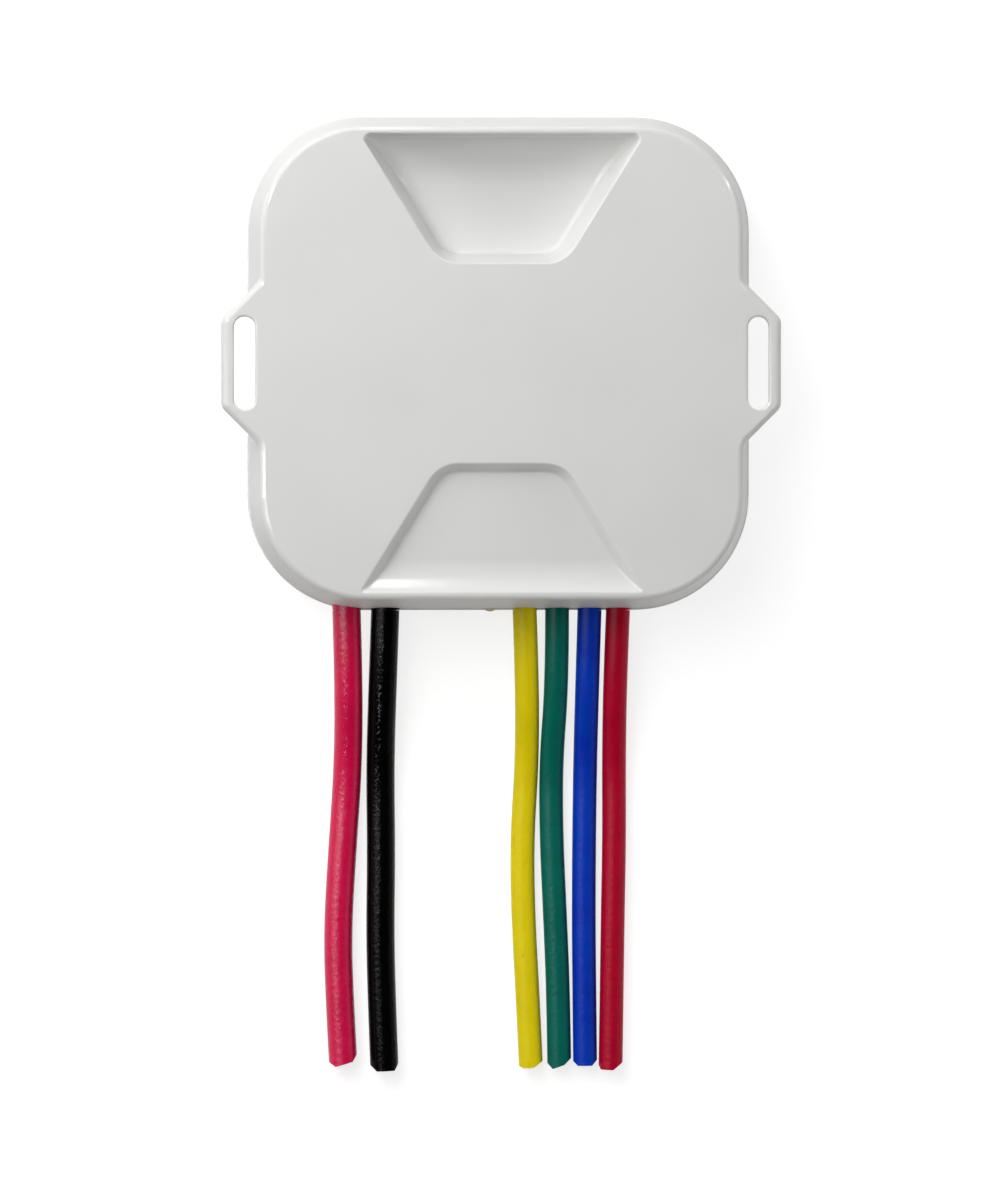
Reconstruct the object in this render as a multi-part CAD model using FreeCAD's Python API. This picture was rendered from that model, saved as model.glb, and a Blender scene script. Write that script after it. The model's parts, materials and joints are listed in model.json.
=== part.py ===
import FreeCAD, Part
import math
import os
from FreeCAD import Vector

# A lighting control module: a moulded cover with two strap ears, a rear base, the circuit
# board that they enclose, and six leads. It lies on its back: +Z points out of its face,
# +Y towards the deep scoop, and the leads leave towards -Y. Millimetres and degrees.

# Housing outline, taken at the parting plane between the base and the cover
rim_half_x = 34.2
rim_half_y = 33.6
rim_corner = 15.6
base_height = 6.0
cover_height = 13.0
wall_draft = 6.5
cover_wall = 2.2
face_thickness = 2.0
floor_thickness = 2.0
base_overhang = 0.15
face_round = 0.8
rear_round = 1.0
parting_bevel = 0.3
cut_margin = 1.0

# Lap joint and gasket between the base and the cover
tongue_thickness = 0.9
tongue_height = 1.5
tongue_gap = 0.1
gasket_height = 0.8

# Strap ears, level with the face, with a slot in each. They reach 76.2 over their tips, with
# 69.85 between the slots.
ear_reach = 3.9
ear_thickness = 2.2
ear_tip_length = 12.0
ear_tip_radius = 1.6
ear_root_radius = 2.0
flank_angle = 45.0
slot_tip_wall = 1.745
slot_width = 2.86
slot_length = 12.6
slot_round = 0.35
groove_setback = 1.1
groove_margin = 1.7

# Tapered hollows in the face: both widen towards an edge of the face
hollow_land = 0.97
hollow_length = 17.55
hollow_side_inset = 14.85
hollow_taper = 10.85
hollow_corner = 4.7
hollow_lip_round = 0.3
scoop_depth = 6.5
scoop_sweep = 6.7
scoop_side_draft = 14.0
scoop_end_draft = 12.0
scoop_floor_rise = 0.35
scoop_foot_round = 0.8
recess_depth = 1.8
recess_ramp = 4.4
recess_draft = 33.0
recess_foot_round = 0.4

# Screws that hold the cover to the base, driven from the rear
case_screw_side_inset = 7.6
case_screw_end_inset = 8.3
case_screw_radius = 1.3
case_screw_head_radius = 2.3
case_screw_head_height = 1.7
case_screw_sink = 0.4
case_screw_length = 13.0
column_wall = 1.0
boss_radius = 3.0

# Circuit board and its screws
board_gap = 1.0
board_thickness = 1.6
board_post_radius = 2.3
board_front_setback = 11.1
board_screw_side_inset = 8.0
board_screw_end_inset = 20.2
board_screw_radius = 1.0
board_screw_head_radius = 1.9
board_screw_head_height = 1.2
board_screw_bite = 2.2
screw_clearance = 0.1
thread_clearance = 0.02

# Each screw's cross recess: how much of the head's height lies under it, the length of its
# arms against the head's radius, and their width against their length
drive_floor = 0.4
drive_reach = 1.0
drive_width = 0.25

# Leads: the two supply leads are thick, the four output leads are thin
thick_lead = 3.9
thin_lead = 3.3
thick_core = 2.3
thin_core = 1.7
supply_pitch = 5.3
output_pitch = 4.45
red_pitch = 3.9
lead_boss_gap = 0.85
core_clearance = 0.02
core_seat_gap = 0.05
port_clearance = 0.1
strip_gap = 0.4
strip_length = 4.6
straight_exit = 9.8
surface_clearance = 0.02
arc_share = 0.45
solder_length = 3.8
solder_cover = 0.8

# Bar that clamps the leads on a rib of the base, and the sealant in front of it
clamp_setback = 5.1
clamp_width = 3.0
clamp_height = 3.0
clamp_gap = 0.15
clamp_margin = 2.2
clamp_lead_wall = 0.35
clamp_boss_gap = 1.25
clamp_screw_offset = 2.1
clamp_screw_radius = 1.0
clamp_screw_head_radius = 1.8
clamp_screw_head_height = 1.2
clamp_screw_bite = 2.6
sealant_gap = 0.1
sealant_height = 3.0
sealant_margin = 0.4

# Power and control parts on the board. A package's size is along X, along Y and upwards.
chip_gap = 0.8
chip_bevel = 0.25
row_gap = 2.6
power_row_setback = 10.9
control_row_setback = 17.4
mosfet_size = (6.6, 6.1, 1.8)
mosfet_tab = (5.2, 6.0, 0.5)
mosfet_tab_reach = 1.1
mosfet_pin_width = 0.8
mosfet_pin_length = 3.8
mosfet_pin_gap = 0.5
mosfet_pin_pitch = 4.57
mosfet_pitch = 7.6
fuse_size = (3.1, 7.4, 2.6)
fuse_cap_length = 1.6
diode_size = (3.6, 4.6, 2.3)
diode_tab_width = 2.2
diode_tab_bite = 1.2
diode_tab_reach = 0.6
diode_tab_thickness = 0.3
surge_size = (5.9, 6.9, 2.3)
surge_tab_width = 3.0
inductor_size = (7.3, 7.3, 4.0)
inductor_corner = 1.4
inductor_foot = (1.5, 3.0, 0.3)
capacitor_radius = 4.0
capacitor_height = 8.2
capacitor_foot = (8.4, 8.4, 1.0)
capacitor_crimp = 0.35
regulator_size = (4.9, 3.9, 1.5)
driver_size = (8.7, 3.9, 1.5)
controller_size = (7.0, 7.0, 1.2)
pin_reach = 1.0
pin_width = 0.4
pin_thickness = 0.2
pin_pitch = 1.27
fine_pin_width = 0.3
fine_pin_pitch = 0.8
crystal_size = (3.2, 5.0, 1.2)
shunt_size = (6.4, 3.2, 0.6)
resistor_size = (2.0, 1.25, 0.55)
ceramic_size = (2.0, 1.25, 0.9)
resistor_gap = 0.9
radio_board_size = (15.0, 18.0, 0.8)
radio_board_gap = 1.0
shield_size = (13.0, 12.6, 2.0)
shield_sheet = 0.2
shield_margin = 0.8
antenna_size = (7.0, 2.0, 1.2)

# Heights and places that follow from the sizes above
total_height = base_height + cover_height
roof_z = total_height - face_thickness
ear_bottom_z = total_height - ear_thickness
ear_tip_x = rim_half_x + ear_reach
slot_x = ear_tip_x - slot_tip_wall - slot_width / 2
groove_x = slot_x - slot_width / 2 - groove_setback
groove_half = slot_length / 2 + groove_margin
flank_corner = math.tan(math.radians(45 - flank_angle / 2))
hollow_mouth_y = rim_half_y - cover_height * math.tan(math.radians(wall_draft)) - hollow_land
hollow_end_y = hollow_mouth_y - hollow_length
hollow_mouth_half = rim_half_x - hollow_side_inset
hollow_end_half = hollow_mouth_half - hollow_taper
case_screw_x = rim_half_x - case_screw_side_inset
case_screw_y = rim_half_y - case_screw_end_inset
case_screw_tip_z = case_screw_sink + case_screw_head_height + case_screw_length
column_radius = case_screw_head_radius + screw_clearance + column_wall
port_z = base_height
exit_y = -(rim_half_y + base_overhang)
board_top_z = port_z - thick_core / 2 - core_seat_gap
board_bottom_z = board_top_z - board_thickness
board_inset = cover_wall + board_gap
board_front_y = board_front_setback - rim_half_y
board_back_y = rim_half_y - board_inset
board_screw_x = rim_half_x - board_screw_side_inset
board_screw_y = rim_half_y - board_screw_end_inset
clamp_front_y = clamp_setback - rim_half_y
clamp_back_y = clamp_front_y + clamp_width
clamp_middle_y = clamp_front_y + clamp_width / 2
power_row_y = board_front_y + power_row_setback
supply_row_y = power_row_y + mosfet_size[1] / 2 + row_gap + capacitor_foot[1] / 2
control_row_y = board_back_y - control_row_setback

# Where the leads pass the front wall. The supply leads start beside the left corner boss,
# and the output leads end where the clamp's last screw has room beside the right one.
pink_x = lead_boss_gap + boss_radius + thick_lead / 2 - case_screw_x
black_x = pink_x + supply_pitch
clamp_end_x = case_screw_x - boss_radius - clamp_boss_gap
red_x = clamp_end_x - clamp_margin - clamp_screw_offset - thin_lead / 2
blue_x = red_x - red_pitch
green_x = blue_x - output_pitch
yellow_x = green_x - output_pitch

# Each lead: its colour, diameters, where it leaves, and the rest of its route on the
# surface, as points chosen by hand
LEADS = [
    ("pink", thick_lead, thick_core, pink_x,
     [(-20.5, -55.4), (-21.4, -67.6), (-22.1, -78.2), (-21.7, -87.8), (-21.2, -96.2)]),
    ("black", thick_lead, thick_core, black_x,
     [(-16.3, -55.2), (-16.2, -67.2), (-16.3, -78.4), (-16.0, -88.2), (-15.6, -96.9)]),
    ("yellow", thin_lead, thin_core, yellow_x,
     [(4.2, -54.6), (3.3, -65.5), (3.4, -76.4), (4.1, -87.0), (4.6, -96.4)]),
    ("green", thin_lead, thin_core, green_x,
     [(7.2, -54.8), (7.3, -65.0), (7.8, -75.8), (8.2, -86.5), (8.4, -96.4)]),
    ("blue", thin_lead, thin_core, blue_x,
     [(12.1, -54.4), (11.8, -65.6), (11.7, -76.6), (11.9, -87.0), (12.0, -96.2)]),
    ("red", thin_lead, thin_core, red_x,
     [(16.1, -54.2), (16.0, -65.0), (15.8, -75.9), (15.75, -86.8), (15.6, -97.2)]),
]
OUTPUTS = [lead for lead in LEADS if lead[1] == thin_lead]


def round_cornered(points, z):
    """A closed outline through (x, y, corner radius) points. A radius of 0 is a sharp corner."""
    corners = [Vector(x, y, z) for x, y, _ in points]
    count = len(corners)
    arcs = []
    for index, (_, _, radius) in enumerate(points):
        corner = corners[index]
        inward = (corner - corners[index - 1]).normalize()
        outward = (corners[(index + 1) % count] - corner).normalize()
        half_turn = inward.getAngle(outward) / 2
        tangent = radius * math.tan(half_turn)
        bulge = (outward - inward).normalize() * (radius / math.cos(half_turn) - radius)
        arcs.append((corner - inward * tangent, corner + bulge, corner + outward * tangent))
    edges = []
    for index, (start, middle, stop) in enumerate(arcs):
        if points[index][2] > 0:
            edges.append(Part.Arc(start, middle, stop).toShape())
        following = arcs[(index + 1) % count][0]
        if (following - stop).Length > 1e-6:
            edges.append(Part.makeLine(stop, following))
    return Part.Wire(edges)


def rounded_outline(half_x, half_y, corner, z):
    """A closed rectangle outline with round corners."""
    signs = ((1, 1), (-1, 1), (-1, -1), (1, -1))
    return round_cornered([(sx * half_x, sy * half_y, corner) for sx, sy in signs], z)


def prism(wire, height):
    """The solid that an outline makes when it is raised by a height."""
    return Part.Face(wire).extrude(Vector(0, 0, height))


def polygon_prism(points, z, height):
    """A straight-sided solid on corner points."""
    corners = [Vector(x, y, z) for x, y in points]
    return prism(Part.makePolygon(corners + corners[:1]), height)


def box(x_range, y_range, z_range):
    """A block between two corners."""
    low = Vector(x_range[0], y_range[0], z_range[0])
    return Part.makeBox(x_range[1] - low.x, y_range[1] - low.y, z_range[1] - low.z, low)


def block(centre_x, centre_y, size, z):
    """A block that stands on a height, centred in plan."""
    low = Vector(centre_x - size[0] / 2, centre_y - size[1] / 2, z)
    return Part.makeBox(size[0], size[1], size[2], low)


def post(x, y, radius, bottom, top):
    """An upright round post."""
    return Part.makeCylinder(radius, top - bottom, Vector(x, y, bottom))


def bays(inset, bottom, top):
    """The bays behind the ear slots, as blocks at both sides, moved inwards by an inset."""
    blocks = []
    reach = rim_half_x + base_overhang + cut_margin
    for side in (1, -1):
        inner = groove_x - inset
        half = groove_half + inset * flank_corner
        spread = (reach - inner) * math.tan(math.radians(flank_angle))
        corners = [(inner, -half), (reach, -half - spread), (reach, half + spread), (inner, half)]
        blocks.append(polygon_prism([(side * x, y) for x, y in corners], bottom, top - bottom))
    return blocks


def rim_plate(inset, bottom, top):
    """A plate of the rim's outline moved inwards by an inset, with the bays cut from it."""
    outline = rounded_outline(rim_half_x - inset, rim_half_y - inset, rim_corner - inset, bottom)
    plate = prism(outline, top - bottom)
    for bay in bays(inset, bottom, top):
        plate = plate.cut(bay)
    return plate


def drafted_block(inset, bottom, top):
    """A block of the rim's outline that leans inwards as it rises above the parting plane."""
    wires = []
    for z in (bottom, top):
        lean = inset + (z - base_height) * math.tan(math.radians(wall_draft))
        wires.append(rounded_outline(rim_half_x - lean, rim_half_y - lean, rim_corner - lean, z))
    return Part.makeLoft(wires, True, True)


def lead_holes(extra, from_y, to_y):
    """A round bar along each lead, wider by a clearance."""
    bars = []
    for _, diameter, _, x, _ in LEADS:
        start = Vector(x, from_y, port_z)
        bars.append(Part.makeCylinder(diameter / 2 + extra, to_y - from_y, start, Vector(0, 1, 0)))
    return bars


def lead_band(z_bottom, z_top):
    """The stretch of the front wall that the leads pass, where the lap joint is left out."""
    left = LEADS[0][3] - LEADS[0][1] / 2 - sealant_margin
    right = LEADS[-1][3] + LEADS[-1][1] / 2 + sealant_margin
    return box((left, right), (-rim_half_y, clamp_front_y), (z_bottom, z_top))


def corners_of(x, y):
    """The four mirror places of a point."""
    return [(sx * x, sy * y) for sy in (1, -1) for sx in (1, -1)]


def clamp_screw_places():
    """X of the clamp's screws: right of the black, left of the yellow, right of the red."""
    sides = {"black": 1, "yellow": -1, "red": 1}
    places = []
    for name, diameter, _, x, _ in LEADS:
        if name in sides:
            places.append(x + sides[name] * (diameter / 2 + clamp_screw_offset))
    return places


def clamp_ends():
    """X of the clamp's ends: past the first lead, and past the last screw."""
    return (pink_x - thick_lead / 2 - clamp_lead_wall, clamp_end_x)


def hollow_outline(grow_side, grow_end, z):
    """A tapered hollow's outline at one height. The growths are set off from its sloping
    sides and its narrow end, and may be negative."""
    slope = (hollow_mouth_half - hollow_end_half) / (hollow_mouth_y - hollow_end_y)
    end_y = hollow_end_y - grow_end
    mouth_y = hollow_mouth_y + rim_corner
    end_half = hollow_end_half + grow_side / math.cos(math.atan(slope)) - grow_end * slope
    mouth_half = end_half + (mouth_y - end_y) * slope
    radius = hollow_corner + (grow_side + grow_end) / 2
    right = [(end_half, end_y, radius), (mouth_half, mouth_y, 0)]
    return round_cornered(right + [(-x, y, r) for x, y, r in reversed(right)], z)


def hollow_sides(depth, side_draft, end_draft, grow):
    """The tapered sides of a hollow, from below its floor to above the face."""
    wires = []
    for rise in (-depth - grow - cut_margin, cut_margin):
        side_growth = grow + rise * math.tan(math.radians(side_draft))
        end_growth = grow + rise * math.tan(math.radians(end_draft))
        wires.append(hollow_outline(side_growth, end_growth, total_height + rise))
    return Part.makeLoft(wires, True, True)


def arc_in_yz(centre, radius, from_angle, to_angle):
    """An arc in the YZ plane, with angles from +Y towards +Z."""
    points = []
    for angle in (from_angle, (from_angle + to_angle) / 2, to_angle):
        turn = math.radians(angle)
        points.append(centre + Vector(0, math.cos(turn), math.sin(turn)) * radius)
    return Part.Arc(*points).toShape()


def space_over(floor_line):
    """The space over a floor line in the YZ plane, carried across the whole width."""
    top_z = total_height + cut_margin
    mouth = floor_line[0].Vertexes[0].Point
    end = floor_line[-1].Vertexes[-1].Point
    over_end = Vector(0, end.y, top_z)
    closing = [Part.makeLine(end, over_end), Part.makeLine(over_end, mouth)]
    space = Part.Face(Part.Wire(floor_line + closing)).extrude(Vector(2 * rim_half_x, 0, 0))
    space.translate(Vector(-rim_half_x, 0, 0))
    return space


def sweep_to_face(depth, run, grow):
    """The round stretch of a hollow's floor that meets the face at the mouth."""
    radius = (run ** 2 + depth ** 2) / (2 * depth)
    centre = Vector(0, hollow_mouth_y - run, total_height - depth + radius)
    rise = total_height + cut_margin - centre.z
    top_angle = math.degrees(math.asin(rise / (radius + grow)))
    return arc_in_yz(centre, radius + grow, top_angle, -90)


def scoop_floor(grow):
    """The scoop's floor: a steep round fall from the mouth, then a slow rise to its end."""
    fall = sweep_to_face(scoop_depth, scoop_sweep, grow)
    low = fall.Vertexes[-1].Point
    run = low.y - hollow_end_y
    radius = (run ** 2 + scoop_floor_rise ** 2) / (2 * scoop_floor_rise)
    end_angle = -90 - math.degrees(math.asin((run + 2 * cover_wall) / radius))
    return [fall, arc_in_yz(low + Vector(0, 0, radius), radius, -90, end_angle)]


def recess_floor(grow):
    """The recess's floor: level, then a round ramp up to the face at its mouth."""
    ramp = sweep_to_face(recess_depth, recess_ramp, grow)
    low = ramp.Vertexes[-1].Point
    return [ramp, Part.makeLine(low, Vector(0, hollow_end_y - 2 * cover_wall, low.z))]


def floor_foot_edges(space):
    """The edges where a hollow's floor meets its walls."""
    floor_faces = []
    for face in space.Faces:
        u_low, u_high, v_low, v_high = face.ParameterRange
        normal = face.normalAt((u_low + u_high) / 2, (v_low + v_high) / 2)
        if abs(normal.x) < 0.01 and normal.z < 0 and normal.y > -0.3:
            floor_faces.append(face)
    edges = [edge for face in floor_faces for edge in face.Edges]
    top_z = total_height + cut_margin
    return [
        edge for edge in edges
        if sum(edge.isSame(other) for other in edges) == 1
        and edge.BoundBox.ZMin < top_z - 0.01
    ]


def scoop_space(grow=0.0):
    """The space that the scoop takes from the cover, or, grown, the wall that backs it."""
    sides = hollow_sides(scoop_depth, scoop_side_draft, scoop_end_draft, grow)
    space = sides.common(space_over(scoop_floor(grow)))
    if grow == 0:
        space = space.makeFillet(scoop_foot_round, floor_foot_edges(space))
    return space


def recess_space(grow=0.0):
    """The space that the recess takes from the cover, or, grown, the wall that backs it."""
    sides = hollow_sides(recess_depth, recess_draft, recess_draft, grow)
    space = sides.common(space_over(recess_floor(grow)))
    if grow == 0:
        space = space.makeFillet(recess_foot_round, floor_foot_edges(space))
    space.rotate(Vector(0, 0, 0), Vector(0, 0, 1), 180)
    return space


def ear_plate(side):
    """One ear, drafted like the wall: a square tip, sloping flanks and hollow roots."""
    wires = []
    for z in (ear_bottom_z, total_height):
        lean = (z - ear_bottom_z) * math.tan(math.radians(wall_draft))
        wall_x = rim_half_x - (z - base_height) * math.tan(math.radians(wall_draft))
        tip_x = ear_tip_x - lean
        tip_half = ear_tip_length / 2 - lean * flank_corner
        root_half = tip_half + (tip_x - wall_x) * math.tan(math.radians(flank_angle))
        root_radius = ear_root_radius + lean
        end_half = root_half + root_radius * flank_corner
        upper = [
            (wall_x - cover_wall, end_half, 0), (wall_x, end_half, 0),
            (wall_x, root_half, root_radius), (tip_x, tip_half, ear_tip_radius - lean),
        ]
        points = upper + [(x, -y, r) for x, y, r in reversed(upper)]
        wires.append(round_cornered([(side * x, y, r) for x, y, r in points], z))
    return Part.makeLoft(wires, True, True)


def ear_slot(side):
    """The space of the slot in one ear, with round ends."""
    radius = slot_width / 2
    straight = slot_length / 2 - radius
    space = block(side * slot_x, 0, (slot_width, 2 * straight, ear_thickness), ear_bottom_z)
    for y in (straight, -straight):
        space = space.fuse(post(side * slot_x, y, radius, ear_bottom_z, total_height))
    return space.removeSplitter()


def level_face(shape, z):
    """The largest level face at one height."""
    faces = [f for f in shape.Faces if abs(f.BoundBox.ZMin - z) + abs(f.BoundBox.ZMax - z) < 0.001]
    return max(faces, key=lambda face: face.Area)


def holes_in(face, wanted):
    """The edges of the holes in a face whose centre passes a test."""
    edges = []
    for wire in face.Wires:
        if not wire.isSame(face.OuterWire) and wanted(wire.BoundBox.Center):
            edges.extend(wire.Edges)
    return edges


def cover_cavity():
    """The space inside the cover, less the walls, bosses and backing that reach into it."""
    cavity = drafted_block(cover_wall, base_height, roof_z)
    for bay in bays(cover_wall, base_height, roof_z):
        cavity = cavity.cut(bay)
    cavity = cavity.cut(scoop_space(face_thickness))
    cavity = cavity.cut(recess_space(face_thickness))
    for x, y in corners_of(case_screw_x, case_screw_y):
        cavity = cavity.cut(post(x, y, boss_radius, base_height, roof_z))
    return cavity


def cover_rebate():
    """The step round the inside of the skirt that takes the base's tongue and the gasket."""
    top = base_height + tongue_height + gasket_height
    rebate = rim_plate(cover_wall - tongue_thickness - tongue_gap, base_height, top)
    for x, y in corners_of(case_screw_x, case_screw_y):
        rebate = rebate.cut(post(x, y, boss_radius, base_height, top))
    return rebate


def front_cover():
    """The moulded cover: face, drafted skirt, ears, hollows, bosses and lap rebate."""
    cover = drafted_block(0, base_height, total_height)
    for side in (1, -1):
        cover = cover.fuse(ear_plate(side))
    cover = cover.removeSplitter()
    cover = cover.makeFillet(face_round, level_face(cover, total_height).OuterWire.Edges)
    cover = cover.makeChamfer(parting_bevel, level_face(cover, base_height).OuterWire.Edges)
    cover = cover.cut(cover_cavity())
    cover = cover.cut(cover_rebate())
    for bay in bays(0, base_height, ear_bottom_z):
        cover = cover.cut(bay)
    cover = cover.cut(scoop_space())
    cover = cover.cut(recess_space())
    for side in (1, -1):
        cover = cover.cut(ear_slot(side))
    face = level_face(cover, total_height)
    cover = cover.makeFillet(hollow_lip_round, holes_in(face, lambda c: abs(c.x) < 1))
    face = level_face(cover, total_height)
    cover = cover.makeFillet(slot_round, holes_in(face, lambda c: abs(c.x) > 1))
    for hole in lead_holes(port_clearance, exit_y - cut_margin, clamp_front_y):
        cover = cover.cut(hole)
    pilot = case_screw_radius + thread_clearance
    for x, y in corners_of(case_screw_x, case_screw_y):
        cover = cover.cut(post(x, y, pilot, base_height, case_screw_tip_z + case_screw_sink))
    return cover


def rear_base():
    """The rear base: floor, wall with a tongue, screw columns, board posts and lead rib."""
    outline = rounded_outline(
        rim_half_x + base_overhang, rim_half_y + base_overhang, rim_corner + base_overhang, 0
    )
    base = prism(outline, base_height)
    base = base.makeFillet(rear_round, level_face(base, 0).Edges)
    base = base.makeChamfer(parting_bevel, level_face(base, base_height).Edges)
    for bay in bays(0, 0, base_height):
        base = base.cut(bay)
    base = base.cut(rim_plate(cover_wall, floor_thickness, base_height))
    base = base.fuse(tongue())
    for x, y in corners_of(case_screw_x, case_screw_y):
        base = base.fuse(post(x, y, column_radius, floor_thickness, base_height))
    for x, y in corners_of(board_screw_x, board_screw_y):
        base = base.fuse(post(x, y, board_post_radius, floor_thickness, board_bottom_z))
    base = base.fuse(box(clamp_ends(), (clamp_front_y, clamp_back_y), (floor_thickness, port_z)))
    base = base.removeSplitter()
    for hole in lead_holes(port_clearance, exit_y - cut_margin, clamp_back_y + cut_margin):
        base = base.cut(hole)
    sunk_z = case_screw_sink + case_screw_head_height
    for x, y in corners_of(case_screw_x, case_screw_y):
        base = base.cut(post(x, y, case_screw_head_radius + screw_clearance, 0, sunk_z))
        base = base.cut(post(x, y, case_screw_radius + screw_clearance, 0, base_height))
    for x, y in corners_of(board_screw_x, board_screw_y):
        bottom = board_bottom_z - board_screw_bite - screw_clearance
        base = base.cut(post(x, y, board_screw_radius + thread_clearance, bottom, board_bottom_z))
    for x in clamp_screw_places():
        bottom = port_z - clamp_screw_bite - screw_clearance
        base = base.cut(post(x, clamp_middle_y, clamp_screw_radius + thread_clearance, bottom, port_z))
    return base


def tongue():
    """The raised inner half of the base's wall, left out where the leads pass."""
    top = base_height + tongue_height
    ring = rim_plate(cover_wall - tongue_thickness, base_height, top)
    ring = ring.cut(rim_plate(cover_wall, base_height, top))
    ring = ring.cut(lead_band(base_height, top))
    for x, y in corners_of(case_screw_x, case_screw_y):
        ring = ring.cut(post(x, y, boss_radius + tongue_gap, base_height, top))
    return ring


def cover_gasket():
    """The strip of rubber between the tongue and the cover, open where the leads pass."""
    bottom = base_height + tongue_height
    top = bottom + gasket_height
    ring = rim_plate(cover_wall - tongue_thickness, bottom, top)
    inside = drafted_block(cover_wall, bottom, top)
    for bay in bays(cover_wall, bottom, top):
        inside = inside.cut(bay)
    ring = ring.cut(inside)
    ring = ring.cut(lead_band(bottom, top))
    for x, y in corners_of(case_screw_x, case_screw_y):
        ring = ring.cut(post(x, y, boss_radius + tongue_gap, bottom, top))
    return ring


def circuit_board():
    """The board: the housing's outline, cut off in front and round the screw columns."""
    board = rim_plate(board_inset, board_bottom_z, board_top_z)
    ahead = box((-rim_half_x, rim_half_x), (-rim_half_y, board_front_y), (board_bottom_z, board_top_z))
    board = board.cut(ahead)
    for x, y in corners_of(case_screw_x, case_screw_y):
        board = board.cut(post(x, y, column_radius + board_gap / 2, board_bottom_z, board_top_z))
    for x, y in corners_of(board_screw_x, board_screw_y):
        hole = board_screw_radius + screw_clearance
        board = board.cut(post(x, y, hole, board_bottom_z, board_top_z))
    return board


def screw(radius, length, head_radius, head_height):
    """A pan-head screw that points down from its head's seat at the origin."""
    head = Part.makeCylinder(head_radius, head_height)
    rim = [e for e in head.Edges if e.BoundBox.ZMin > head_height / 2 and len(e.Vertexes) == 1]
    floor = head_height * drive_floor
    head = head.makeFillet(floor, rim)
    reach = head_radius * drive_reach
    width = reach * drive_width
    cross = block(0, 0, (reach, width, head_height), floor)
    cross = cross.fuse(block(0, 0, (width, reach, head_height), floor))
    point = Part.makeCone(0, radius, radius, Vector(0, 0, -length))
    shank = Part.makeCylinder(radius, length - radius, Vector(0, 0, radius - length))
    return head.cut(cross).fuse(shank).fuse(point).removeSplitter()


def screws(places, seat_z, radius, length, head_radius, head_height, from_below=False):
    """The same screw at several places, with its head seated at one height."""
    copies = []
    for x, y in places:
        copy = screw(radius, length, head_radius, head_height)
        if from_below:
            copy.rotate(Vector(0, 0, 0), Vector(1, 0, 0), 180)
        copy.translate(Vector(x, y, seat_z))
        copies.append(copy)
    return Part.makeCompound(copies)


def lead_clamp():
    """The bar that holds the leads down on the base's rib."""
    bottom = port_z + clamp_gap
    bar = box(clamp_ends(), (clamp_front_y, clamp_back_y), (bottom, bottom + clamp_height))
    upper = [e for e in bar.Edges if e.BoundBox.ZMin > bottom + clamp_height / 2]
    bar = bar.makeChamfer(chip_bevel, upper)
    for hole in lead_holes(core_clearance, clamp_front_y - cut_margin, clamp_back_y + cut_margin):
        bar = bar.cut(hole)
    for x in clamp_screw_places():
        hole = post(x, clamp_middle_y, clamp_screw_radius + screw_clearance, bottom, bottom + clamp_height)
        bar = bar.cut(hole)
    return bar


def lead_sealant():
    """The bead of sealant round the leads, between the clamp and the front wall."""
    top = port_z + sealant_height
    lean = sealant_height * math.tan(math.radians(wall_draft))
    bead = lead_band(floor_thickness, top)
    bead = bead.cut(box((-rim_half_x, rim_half_x), (clamp_front_y - sealant_gap, 0), (0, top)))
    bead = bead.common(rim_plate(cover_wall + sealant_gap + lean, floor_thickness, top))
    for hole in lead_holes(core_clearance, exit_y, clamp_back_y):
        bead = bead.cut(hole)
    return bead


def rounded_path(points):
    """Straight runs joined by tangent arcs, each as large as its two runs allow."""
    edges = []
    start = points[0]
    for before, corner, after in zip(points, points[1:], points[2:]):
        inward = (corner - before).normalize()
        outward = (after - corner).normalize()
        turn = inward.getAngle(outward)
        cut = arc_share * min((corner - before).Length, (after - corner).Length)
        radius = cut / math.tan(turn / 2)
        towards_centre = (outward - inward).normalize()
        middle = corner + towards_centre * (radius / math.cos(turn / 2) - radius)
        arc_start = corner - inward * cut
        arc_end = corner + outward * cut
        edges.append(Part.LineSegment(start, arc_start).toShape())
        edges.append(Part.Arc(arc_start, middle, arc_end).toShape())
        print("  arc radius", round(radius, 1), "turn", round(math.degrees(turn), 2))
        start = arc_end
    edges.append(Part.LineSegment(start, points[-1]).toShape())
    return Part.Wire(edges)


def tube(path, radius):
    """A round bar along a path that starts towards -Y."""
    start = path.Edges[0].Vertexes[0].Point
    section = Part.Face(Part.Wire(Part.makeCircle(radius, start, Vector(0, -1, 0))))
    return path.makePipe(section)


def free_lead(lead):
    """A lead outside the housing: its insulation and its core."""
    name, diameter, core, x, route = lead
    rest_z = diameter / 2 + surface_clearance
    points = [Vector(x, exit_y, port_z), Vector(x, exit_y - straight_exit, port_z)]
    points += [Vector(px, py, rest_z) for px, py in route]
    print("lead", name)
    path = rounded_path(points)
    bar = tube(path, diameter / 2)
    section = math.pi * diameter ** 2 / 4
    print("  length", round(path.Length, 2), "volume over section", round(bar.Volume / section, 2))
    insulation = bar.cut(tube(path, core / 2 + core_clearance))
    return insulation, tube(path, core / 2)


def inner_lead(lead):
    """A lead inside the housing, straight from the wall to the board: insulation and core."""
    _, diameter, core, x, _ = lead
    start = Vector(x, exit_y, port_z)
    jacket_length = board_front_y - strip_gap - exit_y
    core_length = board_front_y + strip_length - exit_y
    forwards = Vector(0, 1, 0)
    jacket = Part.makeCylinder(diameter / 2, jacket_length, start, forwards)
    bore = Part.makeCylinder(core / 2 + core_clearance, jacket_length, start, forwards)
    return jacket.cut(bore), Part.makeCylinder(core / 2, core_length, start, forwards)


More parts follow.
